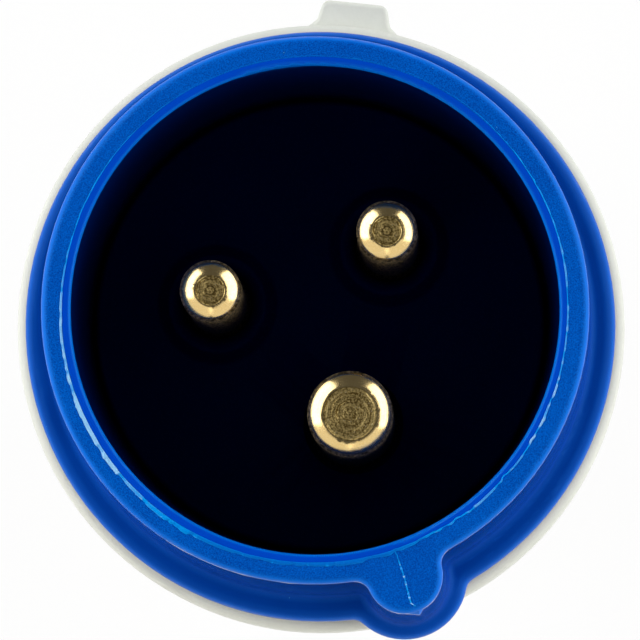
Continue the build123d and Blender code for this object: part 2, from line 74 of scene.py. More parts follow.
camera_data = bpy.data.cameras.new("camera")
camera_data.sensor_width = SENSOR_MM
camera_data.lens = FOCAL_PIXELS * SENSOR_MM / PICTURE
camera_data.clip_start = NEAREST
camera_data.clip_end = FARTHEST
camera = bpy.data.objects.new("camera", camera_data)
camera.matrix_world = Matrix.Translation(camera_place) @ camera_turn.to_4x4()
bpy.context.scene.collection.objects.link(camera)
bpy.context.scene.camera = camera
bpy.context.scene.view_settings.view_transform = "Standard"


# Shroud: the tube round the pins with its key nose, flange and skirt, moulded in blue polyamide.
# Faces square to the mould's opening came out grained, and walls along it were polished by the core.
class Value:
    """A number or vector in a shader. Arithmetic on numbers adds Math nodes."""

    def __init__(self, shader, socket):
        self.shader = shader
        self.socket = socket

    def __add__(self, other):
        return self.shader.math("ADD", self, other)

    def __radd__(self, other):
        return self.shader.math("ADD", other, self)

    def __sub__(self, other):
        return self.shader.math("SUBTRACT", self, other)

    def __rsub__(self, other):
        return self.shader.math("SUBTRACT", other, self)

    def __mul__(self, other):
        return self.shader.math("MULTIPLY", self, other)

    def __rmul__(self, other):
        return self.shader.math("MULTIPLY", other, self)

    def __truediv__(self, other):
        return self.shader.math("DIVIDE", self, other)

    def __pow__(self, other):
        return self.shader.math("POWER", self, other)


class Shader:
    """A material's node tree, built by calls that each add one node and give its output."""

    def __init__(self, name):
        self.material = bpy.data.materials.new(name)
        self.material.use_nodes = True
        self.tree = self.material.node_tree
        self.tree.nodes.clear()

    def node(self, kind, settings=None, sockets=None, output=0):
        """Add a node of a type, set its settings, then its sockets, and give one of its outputs."""
        made = self.tree.nodes.new("ShaderNode" + kind)
        for name, setting in (settings or {}).items():
            setattr(made, name, setting)
        for name, given in (sockets or {}).items():
            if isinstance(given, Value):
                self.tree.links.new(given.socket, made.inputs[name])
            else:
                made.inputs[name].default_value = given
        return Value(self, made.outputs[output])

    def math(self, operation, first, second=0.0):
        return self.node("Math", {"operation": operation}, {0: first, 1: second})

    def place(self, centre=(0.0, 0.0, 0.0)):
        """Place on the piece in the row frame, in metres, counted from a centre."""
        spot = self.node("TexCoord", output="Object")
        away = tuple(-part for part in centre)
        return self.node("Mapping", None, {"Vector": spot, "Location": away})

    def split(self, vector):
        """The three parts of a vector."""
        made = self.node("SeparateXYZ", None, {0: vector}).socket.node
        return [Value(self, socket) for socket in made.outputs]

    def join(self, x, y, z):
        return self.node("CombineXYZ", None, {0: x, 1: y, 2: z})

    def facing(self):
        """How far the surface looks up: 1 on a level face, 0 on an upright wall."""
        return self.split(self.node("NewGeometry", output="Normal"))[2]

    def noise(self, size, detail=2.0, vector=None, seed=0.0):
        """Noise from 0 to 1 whose lumps are about one size across, in metres."""
        return self.node(
            "TexNoise",
            {"noise_dimensions": "4D"},
            {"Vector": vector or self.place(), "W": seed, "Scale": 1.0 / size, "Detail": detail},
        )

    def specks(self, spacing, size, share, vector=None):
        """1 inside scattered round specks of a size, on a share of the cells one spacing across."""
        settings = {"voronoi_dimensions": "3D", "feature": "F1"}
        sockets = {"Vector": vector or self.place(), "Scale": 1.0 / spacing}
        near = self.node("TexVoronoi", settings, sockets, output="Distance")
        chance = self.split(self.node("TexVoronoi", settings, sockets, output="Color"))[0]
        radius = 0.5 * size / spacing
        inside = self.ramp(near, 0.7 * radius, radius, 1.0, 0.0)
        return inside * self.math("GREATER_THAN", chance, 1.0 - share)

    def blend(self, amount, low, high):
        """Colour between two colours."""
        return self.node(
            "Mix", {"data_type": "RGBA"}, {"Factor": amount, "A": low, "B": high}, output="Result"
        )

    def ramp(self, amount, low, high, start=0.0, end=1.0):
        """Number that goes from start to end, smoothly, as amount goes from low to high."""
        return self.node(
            "MapRange",
            {"interpolation_type": "SMOOTHSTEP"},
            {"Value": amount, "From Min": low, "From Max": high, "To Min": start, "To Max": end},
        )

    def bump(self, height, depth):
        """Normal bent by a height from 0 to 1 that stands for a depth in metres."""
        return self.node("Bump", None, {"Height": height, "Distance": depth, "Strength": 1.0})

    def finish(self, **sockets):
        """Close the material with a Principled shader, each socket named with _ for a space."""
        named = {name.replace("_", " "): given for name, given in sockets.items()}
        self.close(self.node("BsdfPrincipled", None, named))
        return self.material

    def close(self, surface):
        end = self.tree.nodes.new("ShaderNodeOutputMaterial")
        self.tree.links.new(surface.socket, end.inputs["Surface"])


def rgba(red, green, blue):
    """Linear colour from the 0 to 255 values of a display."""
    parts = np.array([red, green, blue]) / 255
    linear = np.where(parts <= 0.04045, parts / 12.92, ((parts + 0.055) / 1.055) ** 2.4)
    return (*[float(part) for part in linear], 1.0)


WELD_REACH = 1e-7
SHARP_EDGE = radians(32)


def dressed(node, material, sharp=SHARP_EDGE):
    """Copy of a CAD node with its triangles joined and its round faces shaded smooth."""
    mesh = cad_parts[node].data.copy()
    mesh.materials.clear()
    mesh.materials.append(material)
    piece = bpy.data.objects.new(node + "_piece", mesh)
    bpy.context.scene.collection.objects.link(piece)
    weld = piece.modifiers.new("weld", "WELD")
    weld.merge_threshold = WELD_REACH
    bpy.context.view_layer.update()
    seen = piece.evaluated_get(bpy.context.evaluated_depsgraph_get())
    joined = bpy.data.meshes.new_from_object(seen)
    piece.modifiers.clear()
    piece.data = joined
    joined.polygons.foreach_set("use_smooth", np.ones(len(joined.polygons), dtype=bool))
    joined.set_sharp_from_angle(angle=sharp)
    weighted = piece.modifiers.new("weighted", "WEIGHTED_NORMAL")
    weighted.keep_sharp = True
    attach(piece, "root")
    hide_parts(node)
    return piece


TUBE_LENGTH = 45 * MM
FLANGE_FRONT_Z = RIM_Z - TUBE_LENGTH
MOUTH_LEAD_R = 20.45 * MM
LEAD_BORDER = (MOUTH_LEAD_R + 0.04 * MM, MOUTH_LEAD_R + 0.08 * MM)
RIM_BORDER = (RIM_Z - 1.5 * MM, RIM_Z - 1.2 * MM)
BRINK_BORDER = (FLANGE_FRONT_Z - 0.2 * MM, FLANGE_FRONT_Z)
LEVEL_FACE, RIM_FACE, WALL_FACE = (0.5, 0.9), (0.7, 0.98), (0.03, 0.08)
GRAIN_SIZE, GRAIN_DEPTH, GRAIN_SHARE = 0.11 * MM, 0.012 * MM, 0.85
SPECKLE = (0.3, 0.7)
CLOUD_SIZE = 5 * MM
DUST_SPACING, DUST_SIZE, DUST_SHARE, DUST_COVER = 1.6 * MM, 0.09 * MM, 0.5, 0.7
RIM_DARK, RIM_LIGHT = rgba(0, 60, 156), rgba(0, 98, 206)
LEAD_DARK, LEAD_LIGHT = rgba(0, 66, 190), rgba(0, 74, 204)
FLANGE_SHADE_DARK, FLANGE_SHADE_LIGHT = rgba(0, 58, 156), rgba(0, 68, 172)
ROUND_HIGHLIGHT_BLUE, BRINK_HIGHLIGHT_BLUE, WALL_SHADE_BLUE = rgba(0, 106, 220), rgba(0, 90, 198), rgba(0, 34, 114)
DUST_BLUE = rgba(120, 195, 240)
SATIN, POLISHED = 0.4, 0.04
LEAD_SMOOTHER, RIM_SMOOTHER = 0.2, 0.1
PLASTIC_GLOSS = 0.2
BLUE_GLEAM = rgba(90, 205, 255)


def blue_plastic():
    """Saturated blue: a grained rim, a smooth lead, a satin flange in painted shade with a brink in painted
    light, rounds lighter by painted highlight, and polished walls in painted shade.
    """
    shader = Shader("blue_plastic")
    x, y, z = shader.split(shader.place())
    from_axis = (x * x + y * y) ** 0.5
    facing = shader.facing()
    level = shader.ramp(facing, *LEVEL_FACE)
    upright = shader.ramp(facing, *WALL_FACE, 1.0, 0.0)
    on_rim = shader.ramp(z, *RIM_BORDER)
    in_lead = shader.ramp(from_axis, *LEAD_BORDER, 1.0, 0.0)
    grain = shader.noise(GRAIN_SIZE, detail=2.0)
    cloud = shader.noise(CLOUD_SIZE, seed=4.0)
    speckled = shader.ramp(grain * GRAIN_SHARE + cloud * (1 - GRAIN_SHARE), *SPECKLE)
    grained = shader.blend(speckled, RIM_DARK, RIM_LIGHT)
    lead = shader.blend(cloud, LEAD_DARK, LEAD_LIGHT)
    rim = shader.blend(in_lead, grained, lead)
    # Painted highlight: the rim's rounds get a lighter blue than its faces.
    rim = shader.blend(shader.ramp(facing, *RIM_FACE), ROUND_HIGHLIGHT_BLUE, rim)
    # Painted shade: the flange below the rim gets a darker blue than the rim.
    shaded_flange = shader.blend(cloud, FLANGE_SHADE_DARK, FLANGE_SHADE_LIGHT)
    # Painted light: the flange's brink, and what lies below it where not level, gets a lighter blue.
    brink_highlight = shader.ramp(z, *BRINK_BORDER, 1.0, 0.0) * (1 - level)
    shaded_flange = shader.blend(brink_highlight, shaded_flange, BRINK_HIGHLIGHT_BLUE)
    # Painted shade: upright walls get a darker blue, for the shade inside the mouth and on the tube.
    colour = shader.blend(upright, shader.blend(on_rim, shaded_flange, rim), WALL_SHADE_BLUE)
    dust = shader.specks(DUST_SPACING, DUST_SIZE, DUST_SHARE) * level
    colour = shader.blend(dust * DUST_COVER, colour, DUST_BLUE)
    rough = SATIN - on_rim * (in_lead * LEAD_SMOOTHER + (1 - in_lead) * level * RIM_SMOOTHER * grain)
    return shader.finish(
        Base_Color=colour,
        Roughness=POLISHED + (1 - upright) * rough,
        Normal=shader.bump(grain * level * (1 - in_lead) * on_rim, GRAIN_DEPTH),
        Specular_IOR_Level=PLASTIC_GLOSS,
        Specular_Tint=BLUE_GLEAM,
    )


BLUE = blue_plastic()
dressed("front_shroud", BLUE)


# Flash on the shroud: thin blue plastic that was squeezed out where the halves of the mould met.
# It stands as a ragged thread round the mouth, as a line down the nose, and as a ridge on its tip.
# The last column of each row is painted light: the flash is paler on the lit sides of the mouth.
FLASH_ROUND = (
    (5, -0.02, 0.11, 0.02, 0.40),
    (20, 0.06, 0.09, 0.02, 0.35),
    (60, 0.15, 0.03, 0.02, 0.00),
    (120, 0.10, 0.03, 0.02, 0.00),
    (170, 0.04, 0.10, 0.02, 0.35),
    (190, 0.10, 0.20, 0.03, 0.75),
    (206, 0.10, 0.30, 0.03, 0.95),
    (222, 0.10, 0.28, 0.02, 0.80),
    (230, 0.10, 0.34, 0.02, 0.40),
    (242, 0.09, 0.33, 0.02, 0.12),
    (262, 0.01, 0.32, 0.02, 0.00),
    (284, -0.04, 0.33, 0.02, 0.00),
    (293, -0.06, 0.20, 0.05, 0.10),
    (300, -0.11, 0.12, 0.10, 0.25),
    (308, -0.07, 0.14, 0.12, 0.45),
    (316, -0.11, 0.12, 0.10, 0.30),
    (326, -0.06, 0.13, 0.07, 0.55),
    (345, -0.05, 0.12, 0.03, 0.55),
)
FLASH_SEED = 12
FLASH_STEPS = 2880
FLASH_AROUND = 8
FLASH_CELLS = 330
FLASH_RAGGED, HEIGHT_RAGGED, PALE_RAGGED = 0.35, 0.4, 0.5
FLASH_HEIGHT_SHARE = 0.3
# Painted highlight: the thread's edges are made paler.
FLASH_EDGE_HIGHLIGHT = 0.14
FLASH_EDGE = radians(50)
FLASH_GRAIN = 0.12 * MM
SPUR_WIDTH, SPUR_ABOVE = 0.05 * MM, 0.92
# Painted glints: knots on the thread's outer side are made paler.
KNOT_GLINT, KNOT_ABOVE = 0.4, 0.94
DEEP_BLUES = rgba(0, 90, 188), rgba(0, 114, 216)
PAINTED_BRIGHT_BLUES = rgba(0, 128, 226), rgba(0, 164, 250)
PAINTED_PALE_BLUE = rgba(150, 204, 246)
BRIGHT_FROM = 0.4


def flash_plastic():
    """The shroud's blue, paler where painted light falls: on the lit sides of the mouth, at the thread's
    edges and as glints on its knots.
    """
    shader = Shader("flash_plastic")
    painted_light = shader.node("Attribute", {"attribute_name": "painted_light"}, output="Fac")
    grain = shader.noise(FLASH_GRAIN, detail=3.0, seed=2.0)
    deep = shader.blend(grain, *DEEP_BLUES)
    bright = shader.blend(grain, *PAINTED_BRIGHT_BLUES)
    # Painted light: brighter and paler blues where the painted light is strong.
    colour = shader.blend(shader.ramp(painted_light, 0.0, BRIGHT_FROM), deep, bright)
    colour = shader.blend(shader.ramp(painted_light, BRIGHT_FROM, 1.0) * (0.4 + grain), colour, PAINTED_PALE_BLUE)
    return shader.finish(
        Base_Color=colour,
        Roughness=0.3 + 0.2 * grain,
        Specular_IOR_Level=PLASTIC_GLOSS,
        Specular_Tint=BLUE_GLEAM,
    )


def skin(name, rings, closed, painted_light, material):
    """Mesh over rings of points. The last ring joins the first one, or each end closes in a point."""
    count, around = rings.shape[:2]
    ring = np.arange(count if closed else count - 1)[:, None]
    spot = np.arange(around)[None, :]
    here, following = ring * around, (ring + 1) % count * around
    beside = (spot + 1) % around
    corners = np.broadcast_arrays(here + spot, following + spot, following + beside, here + beside)
    faces = np.stack(corners, axis=-1).reshape(-1, 4).tolist()
    points = rings.reshape(-1, 3)
    shades = np.broadcast_to(painted_light.reshape(count, -1), (count, around)).ravel()
    if not closed:
        first = np.arange(around)
        after = (first + 1) % around
        last = (count - 1) * around
        start, end = len(points), len(points) + 1
        faces += np.stack([np.full(around, start), first, after], axis=-1).tolist()
        faces += np.stack([np.full(around, end), last + after, last + first], axis=-1).tolist()
        points = np.concatenate([points, rings[:1].mean(axis=1), rings[-1:].mean(axis=1)])
        shades = np.concatenate([shades, shades[:1], shades[-1:]])
    mesh = bpy.data.meshes.new(name)
    mesh.from_pydata(points.tolist(), [], faces)
    mesh.attributes.new("painted_light", "FLOAT", "POINT").data.foreach_set("value", shades.astype(np.float32))
    mesh.polygons.foreach_set("use_smooth", np.ones(len(mesh.polygons), dtype=bool))
    mesh.set_sharp_from_angle(angle=FLASH_EDGE)
    mesh.materials.append(material)
    piece = bpy.data.objects.new(name, mesh)
    bpy.context.scene.collection.objects.link(piece)
    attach(piece, "root")
    return piece


def steps(random, places, cells, reach):
    """Random height from -1 to 1 that changes in steps along 0 to reach, each a cell wide on average."""
    borders = np.sort(random.uniform(0, reach, cells))
    heights = random.uniform(-1, 1, cells)
    return heights[np.searchsorted(borders, places) % cells]


def softened(values, width):
    """Running mean over a width, round a closed loop."""
    return sum(np.roll(values, shift) for shift in range(-width, width + 1)) / (2 * width + 1)


def mouth_flash():
    """Thread round the mouth: (R + w/2 cos t, height sin t) in section, with R and w ragged in steps.

    Its inner edge is smooth and its outer edge ragged, as the plastic ran outwards between the halves.
    A row of FLASH_ROUND has a place round the picture in degrees, then the inner edge past the lead, the
    width and the wander there in millimetres, and the paleness from 0 to 1, which is painted light, highest
    on the lit sides.
    """
    random = np.random.default_rng(FLASH_SEED)
    angle = np.linspace(0, 2 * pi, FLASH_STEPS, endpoint=False)
    seen = (np.degrees(angle) + degrees(KEY_ROLL)) % 360
    places, *columns = np.array(FLASH_ROUND).T
    inner, width, wander, painted_light = (np.interp(seen, places, column, period=360) for column in columns)
    ragged = softened(steps(random, angle, FLASH_CELLS, 2 * pi), 3)
    spurs = softened(steps(random, angle, 2 * FLASH_CELLS, 2 * pi) > SPUR_ABOVE, 1)
    width = width * MM * (1 + FLASH_RAGGED * ragged) + SPUR_WIDTH * spurs
    sway = wander * MM * softened(steps(random, angle, FLASH_CELLS // 2, 2 * pi), 3)
    centre = MOUTH_LEAD_R + inner * MM + width / 2 + sway
    lumps = softened(steps(random, angle, FLASH_CELLS, 2 * pi), 2)
    height = FLASH_HEIGHT_SHARE * width * (1 + HEIGHT_RAGGED * lumps)
    t = np.linspace(0, 2 * pi, FLASH_AROUND, endpoint=False)
    r = centre[:, None] + width[:, None] / 2 * np.cos(t)
    z = RIM_Z + height[:, None] * np.sin(t)
    rings = np.stack([r * np.cos(angle)[:, None], r * np.sin(angle)[:, None], z], axis=-1)
    knots = softened(steps(random, angle, 3 * FLASH_CELLS, 2 * pi) > KNOT_ABOVE, 1)
    outer = (1 + np.cos(t)) ** 2 / 4
    # Painted light: paler on the lit sides, on glinting knots and along the thread's edges.
    painted_light = np.clip(painted_light * (1 + PALE_RAGGED * ragged), 0, 1)[:, None] + KNOT_GLINT * knots[:, None] * outer
    return skin("mouth_flash", rings, True, np.clip(painted_light + FLASH_EDGE_HIGHLIGHT * np.cos(t) ** 2, 0, 1), FLASH)


NOSE_TIP_Y = -25.77 * MM
RIM_ROUND = 0.7 * MM
NOSE_LINE = (
    (-0.14, -20.52), (-0.06, -20.98), (-0.06, -22.80), (-0.21, -24.81), (-0.19, -25.0), (0.07, -25.37)
)
NOSE_LINE_WIDTH = 0.13 * MM
NOSE_LINE_WANDER = 0.02 * MM
NOSE_LINE_TAPER = 0.15 * MM
NOSE_LINE_HEIGHT_SHARE = 0.45
NOSE_LINE_STEPS = 240
NOSE_LINE_CELLS = 44
# Painted light: the nose line's paleness, with painted glints on its knots.
NOSE_LINE_PALE, NOSE_RAGGED_PALE, NOSE_KNOT_GLINT = 0.4, 0.2, 0.6
NOSE_KNOT_ABOVE = 0.7


def nose_line():
    """Thread down the middle of the nose: an ellipse carried along straight runs between points."""
    random = np.random.default_rng(FLASH_SEED + 1)
    corners = np.array(NOSE_LINE) * MM
    run = np.concatenate([[0], np.cumsum(np.hypot(*np.diff(corners, axis=0).T))])
    along = np.linspace(0, run[-1], NOSE_LINE_STEPS)
    sway = softened(steps(random, along, NOSE_LINE_CELLS, run[-1]), 2)
    x = np.interp(along, run, corners[:, 0]) + NOSE_LINE_WANDER * sway
    y = np.interp(along, run, corners[:, 1])
    past = np.clip(NOSE_TIP_Y + RIM_ROUND - y, 0, RIM_ROUND)
    top = RIM_Z - RIM_ROUND + np.sqrt(RIM_ROUND**2 - past**2)
    ends = np.sqrt(np.clip(np.minimum(along, run[-1] - along) / NOSE_LINE_TAPER, 0.02, 1))
    ragged = softened(steps(random, along, NOSE_LINE_CELLS, run[-1]), 1)
    width = NOSE_LINE_WIDTH * ends * (1 + FLASH_RAGGED * ragged)
    t = np.linspace(0, 2 * pi, FLASH_AROUND, endpoint=False)
    points_x = x[:, None] - width[:, None] / 2 * np.cos(t)
    points_z = top[:, None] + NOSE_LINE_HEIGHT_SHARE * width[:, None] * np.sin(t)
    rings = np.stack([points_x, np.broadcast_to(y[:, None], points_x.shape), points_z], axis=-1)
    knots = softened(steps(random, along, NOSE_LINE_CELLS, run[-1]) > NOSE_KNOT_ABOVE, 1)
    # Painted light along the nose line, and painted glints on its knots.
    painted_light = np.clip(NOSE_LINE_PALE + NOSE_RAGGED_PALE * ragged + NOSE_KNOT_GLINT * knots, 0, 1)
    return skin("nose_line", rings, False, painted_light, FLASH)


RIDGE_LEFT_X, RIDGE_TOP_X, RIDGE_RIGHT_X = -1.0 * MM, 0.17 * MM, 0.6 * MM
RIDGE_PROUD, RIDGE_FADE = 0.32 * MM, 0.75
RIDGE_TOP_GAP = 0.08 * MM
RIDGE_STEPS = 60
RIDGE_ROOT, RIDGE_SINK = 0.12 * MM, 0.02 * MM
RIDGE_ROUND_END = 0.025
NOSE_CENTRE_Y = -22.67 * MM
NOSE_R = 3.1 * MM
NOSE_DRAFT = 0.4 * MM


def nose_ridge():
    """Ridge down the nose's tip: y = centre - sqrt(r^2 - x^2) - proud at its crest, and on the wall beside.

    It follows the draft, r = r0 + draft * down, fades downwards, and is round at its upper end as the rim is.
    """
    down = np.linspace(0, 1, RIDGE_STEPS)
    r = NOSE_R + NOSE_DRAFT * down
    over = RIM_ROUND * np.clip(1 - down / RIDGE_ROUND_END, 0, 1)
    start = RIM_ROUND - np.sqrt(np.clip(RIM_ROUND**2 - over**2, 0, None))
    proud = RIDGE_PROUD * (1 - RIDGE_FADE * down)
    xs = np.array([RIDGE_LEFT_X, RIDGE_TOP_X, RIDGE_RIGHT_X, RIDGE_RIGHT_X, RIDGE_LEFT_X])
    lift = np.array([0, 1, 0, 0, 0])
    sink = np.array([RIDGE_SINK, 0, RIDGE_SINK, RIDGE_ROOT, RIDGE_ROOT])
    wall = np.sqrt(r[:, None] ** 2 - xs[None, :] ** 2)
    y = NOSE_CENTRE_Y - wall - lift * proud[:, None] + sink + start[:, None]
    z = RIM_Z - RIDGE_TOP_GAP - down * (RIM_Z - RIDGE_TOP_GAP - FLANGE_FRONT_Z)
    x = np.broadcast_to(xs, y.shape)
    rings = np.stack([x, y, np.broadcast_to(z[:, None], y.shape)], axis=-1)
    return skin("nose_ridge", rings, False, np.zeros(RIDGE_STEPS), BLUE)


FLASH = flash_plastic()
mouth_flash()
nose_line()
nose_ridge()


# Carrier: the round block at the bottom of the mouth, moulded in polyamide; its dark navy is painted shade
# for the bottom of the deep mouth.
# It is pressed against its seat in the shroud, and the pins stand in its three holes.
# Painted shade: these navy colours stand for the shade at the bottom of the mouth.
SHADE_NAVY_DARK, SHADE_NAVY_LIGHT = rgba(0, 10, 84), rgba(0, 20, 116)
FLOOR_DUST = rgba(60, 90, 130)
FLOOR_DUST_SPACING, FLOOR_DUST_SIZE = 2.4 * MM, 0.12 * MM
FLOOR_DUST_SHARE, FLOOR_DUST_COVER = 0.4, 0.3
CARRIER_GRAIN_SIZE, CARRIER_GRAIN_DEPTH = 0.22 * MM, 0.004 * MM
CARRIER_GLOSS = 0.1


def carrier_plastic():
    """Dark navy, painted shade for the deep mouth's bottom, with a fine grain and a little dust."""
    shader = Shader("carrier_plastic")
    grain = shader.noise(CARRIER_GRAIN_SIZE, detail=3.0)
    colour = shader.blend(grain, SHADE_NAVY_DARK, SHADE_NAVY_LIGHT)
    dust = shader.specks(FLOOR_DUST_SPACING, FLOOR_DUST_SIZE, FLOOR_DUST_SHARE)
    colour = shader.blend(dust * FLOOR_DUST_COVER, colour, FLOOR_DUST)
    return shader.finish(
        Base_Color=colour,
        Roughness=0.22 + 0.12 * grain,
        Normal=shader.bump(grain, CARRIER_GRAIN_DEPTH),
        Specular_IOR_Level=CARRIER_GLOSS,
        Specular_Tint=BLUE_GLEAM,
    )


dressed("pin_carrier", carrier_plastic())


# Pins: brass, each turned from rod in one piece with its collar and terminal sleeve.
# The lathe left rings on the flat tip and a low dome round it, and swarf and dust lie along the wall.
TIP_EDGE, TIP_SIDE = radians(20), radians(31)
TIP_SIDE_RUN = 0.42 * MM
TIP_HEIGHT = 1.3 * MM
PIN_EDGE = radians(15)
LIVE_R, EARTH_R = 2.5 * MM, 3.5 * MM
LIVE_FACE_R, EARTH_FACE_R = 1.24 * MM, 2.22 * MM
LIVE_MARK_R, EARTH_MARK_R = 0.36 * MM, 0.06 * MM
RING_SIZE, RING_BROAD_SIZE, RING_SWAY = 0.06 * MM, 0.3 * MM, 0.05 * MM
RING_HEIGHT, TURNED_HEIGHT, STREAK_HEIGHT = 0.2, 1.1, 0.6
MARK_BORDER = (0.03 * MM, 0.08 * MM)
FACE_BORDER, TURNED_BORDER, EDGE_REFLECTION_BORDER = (0.98, 1.01), (0.92, 0.98), (0.965, 0.99)
FACE_DEPTH_BORDER = (-0.3 * MM, -0.2 * MM)
PIN_WALL = (0.45, 0.75)
WORN, DUSTY_STREAKS = (0.4, 0.6), (0.38, 0.62)
MARK_COVER, DUST_ON_WALL, FACE_DULLS_GLINT = 0.6, 0.85, 0.6
TARNISH_SIZE, STREAK_SIZE, STREAK_STRETCH = 0.16 * MM, 0.2 * MM, 0.12
GLINT_SPACING, GLINT_SIZE, GLINT_SHARE = 0.3 * MM, 0.12 * MM, 0.45
BRASS_DEPTH = 0.025 * MM
BRIGHT_BRASS = rgba(234, 194, 112), rgba(255, 236, 184)
DULL_BRASS = rgba(116, 92, 40), rgba(244, 216, 144)
DUSTY_BRASS = rgba(84, 64, 30), rgba(246, 220, 168)
MARK_AND_REFLECTION_BROWN, GLINT_WHITE = rgba(66, 46, 16), rgba(255, 244, 214)


def turned_brass(pole, face_r, mark_r):
    """Yellow brass: rings about its own axis on the flat tip, a mark in them, a dark ring of painted
    reflection round the tip's edge, a bright dome, a dusty wall.
    """
    low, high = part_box(pole + "_pin")
    centre = ((low.x + high.x) / 2, (low.y + high.y) / 2, high.z)
    shader = Shader(pole + "_brass")
    x, y, z = shader.split(shader.place(centre))
    from_axis = (x * x + y * y) ** 0.5
    outwards = from_axis / face_r
    about = shader.join(from_axis, x / from_axis * RING_SWAY, y / from_axis * RING_SWAY)
    rings = shader.noise(RING_SIZE, detail=2.0, vector=about)
    broad = shader.noise(RING_BROAD_SIZE, vector=about, seed=3.0)
    tarnish = shader.noise(TARNISH_SIZE, detail=4.0, vector=shader.place(centre), seed=5.0)
    wall = shader.ramp(shader.facing(), *PIN_WALL, 1.0, 0.0)
    on_flat = shader.ramp(outwards, *FACE_BORDER, 1.0, 0.0) * shader.ramp(z, *FACE_DEPTH_BORDER)
    bright = shader.blend(tarnish * 0.6 + rings * 0.4, *BRIGHT_BRASS)
    worn = shader.ramp(rings * 0.3 + broad * 0.2 + tarnish * 0.5, *WORN)
    dull = shader.blend(worn, *DULL_BRASS)
    colour = shader.blend(on_flat, bright, dull)
    # Painted reflection: a dark brown ring round the flat tip's edge; the lathe's centre mark takes the same
    # brown.
    edge_reflection = shader.ramp(outwards, *EDGE_REFLECTION_BORDER)
    mark = shader.ramp(shader.math("ABSOLUTE", from_axis - mark_r), *MARK_BORDER, 1.0, 0.0)
    colour = shader.blend(shader.math("MAXIMUM", edge_reflection, mark) * on_flat * MARK_COVER, colour, MARK_AND_REFLECTION_BROWN)
    streaks = shader.noise(STREAK_SIZE, detail=4.0, vector=shader.join(x, y, z * STREAK_STRETCH), seed=7.0)
    dusty = shader.blend(shader.ramp(streaks, *DUSTY_STREAKS), *DUSTY_BRASS)
    glint = shader.specks(GLINT_SPACING, GLINT_SIZE, GLINT_SHARE, shader.place(centre))
    glint = glint * (1 - on_flat * FACE_DULLS_GLINT)
    colour = shader.blend(wall * DUST_ON_WALL, colour, dusty)
    colour = shader.blend(glint * shader.math("MAXIMUM", wall, on_flat), colour, GLINT_WHITE)
    turned = shader.ramp(outwards, *TURNED_BORDER, 1.0, 0.0) * on_flat
    height = rings * (RING_HEIGHT + TURNED_HEIGHT * turned) + wall * (streaks * STREAK_HEIGHT + glint)
    return shader.finish(
        Base_Color=colour,
        Metallic=1.0,
        Roughness=0.14 + 0.08 * tarnish + on_flat * 0.16 + wall * (0.14 + 0.2 * streaks),
        Normal=shader.bump(height, BRASS_DEPTH),
    )


def domed(piece, pin_r, face_r):
    """Give a pin's tip its low dome, then its side.

    On each, depth = R (cos a0 - cos a) where r = r0 + R (sin a - sin a0), from its start a0 outwards.
    """
    low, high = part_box(piece.name.removesuffix("_piece"))
    points = np.empty(3 * len(piece.data.vertices), dtype=np.float32)
    piece.data.vertices.foreach_get("co", points)
    points = points.reshape(-1, 3).astype(float)
    r = np.hypot(points[:, 0] - (low.x + high.x) / 2, points[:, 1] - (low.y + high.y) / 2)
    side_r = pin_r - TIP_SIDE_RUN
    dome_radius = (side_r - face_r) / (sin(TIP_SIDE) - sin(TIP_EDGE))
    side_radius = TIP_SIDE_RUN / (1 - sin(TIP_SIDE))
    on_dome = np.clip(r, face_r, side_r) - face_r
    on_side = np.clip(r, side_r, pin_r) - side_r
    depth = dome_radius * (cos(TIP_EDGE) - np.sqrt(1 - (sin(TIP_EDGE) + on_dome / dome_radius) ** 2))
    down = np.sqrt(np.clip(1 - (sin(TIP_SIDE) + on_side / side_radius) ** 2, 0, None))
    depth += side_radius * (cos(TIP_SIDE) - down)
    in_tip = high.z - points[:, 2] < TIP_HEIGHT
    points[in_tip, 2] = high.z - depth[in_tip]
    piece.data.vertices.foreach_set("co", points.astype(np.float32).ravel())
    piece.data.update()


for pole, pin_r, face_r, mark_r in (
    ("line", LIVE_R, LIVE_FACE_R, LIVE_MARK_R),
    ("neutral", LIVE_R, LIVE_FACE_R, LIVE_MARK_R),
    ("earth", EARTH_R, EARTH_FACE_R, EARTH_MARK_R),
):
    domed(dressed(pole + "_pin", turned_brass(pole, face_r, mark_r), PIN_EDGE), pin_r, face_r)


# Housing and gland nut: light grey polyamide with a satin skin.
# The housing turns on to the shroud's skirt, and the nut screws on to its neck.
GREY_DARK, GREY_LIGHT = rgba(214, 217, 209), rgba(228, 231, 224)
GREY_GRAIN_SIZE, GREY_GRAIN_DEPTH = 0.3 * MM, 0.008 * MM
GREY_CLOUD_SIZE = 7 * MM


def grey_plastic():
    """Warm light grey with a fine grain."""
    shader = Shader("grey_plastic")
    grain = shader.noise(GREY_GRAIN_SIZE, detail=3.0)
    cloud = shader.noise(GREY_CLOUD_SIZE, seed=6.0)
    colour = shader.blend(grain * 0.5 + cloud * 0.5, GREY_DARK, GREY_LIGHT)
    return shader.finish(
        Base_Color=colour,
        Roughness=SATIN + 0.12 * grain,
        Normal=shader.bump(grain, GREY_GRAIN_DEPTH),
        Specular_IOR_Level=PLASTIC_GLOSS,
    )


GREY = grey_plastic()
dressed("rear_housing", GREY)
dressed("gland_nut", GREY)


# Inside the housing: the insulating retainer, the rubber seal and bush, and the white nylon gland parts.
# They are plain mouldings that no one sees until the plug is opened.
MOULDING_GRAIN_SIZE = 0.35 * MM
MOULDING_LOW_SHARE = 0.85


def moulding(name, colour, roughness, grain_depth):
    """Plain moulded stuff: one colour a little uneven, with a fine grain."""
    shader = Shader(name)
    grain = shader.noise(MOULDING_GRAIN_SIZE, detail=3.0)
    low = (*[MOULDING_LOW_SHARE * part for part in colour[:3]], 1.0)
    return shader.finish(
        Base_Color=shader.blend(grain, low, colour),
        Roughness=roughness + 0.1 * grain,
        Normal=shader.bump(grain, grain_depth),
        Specular_IOR_Level=PLASTIC_GLOSS,
    )


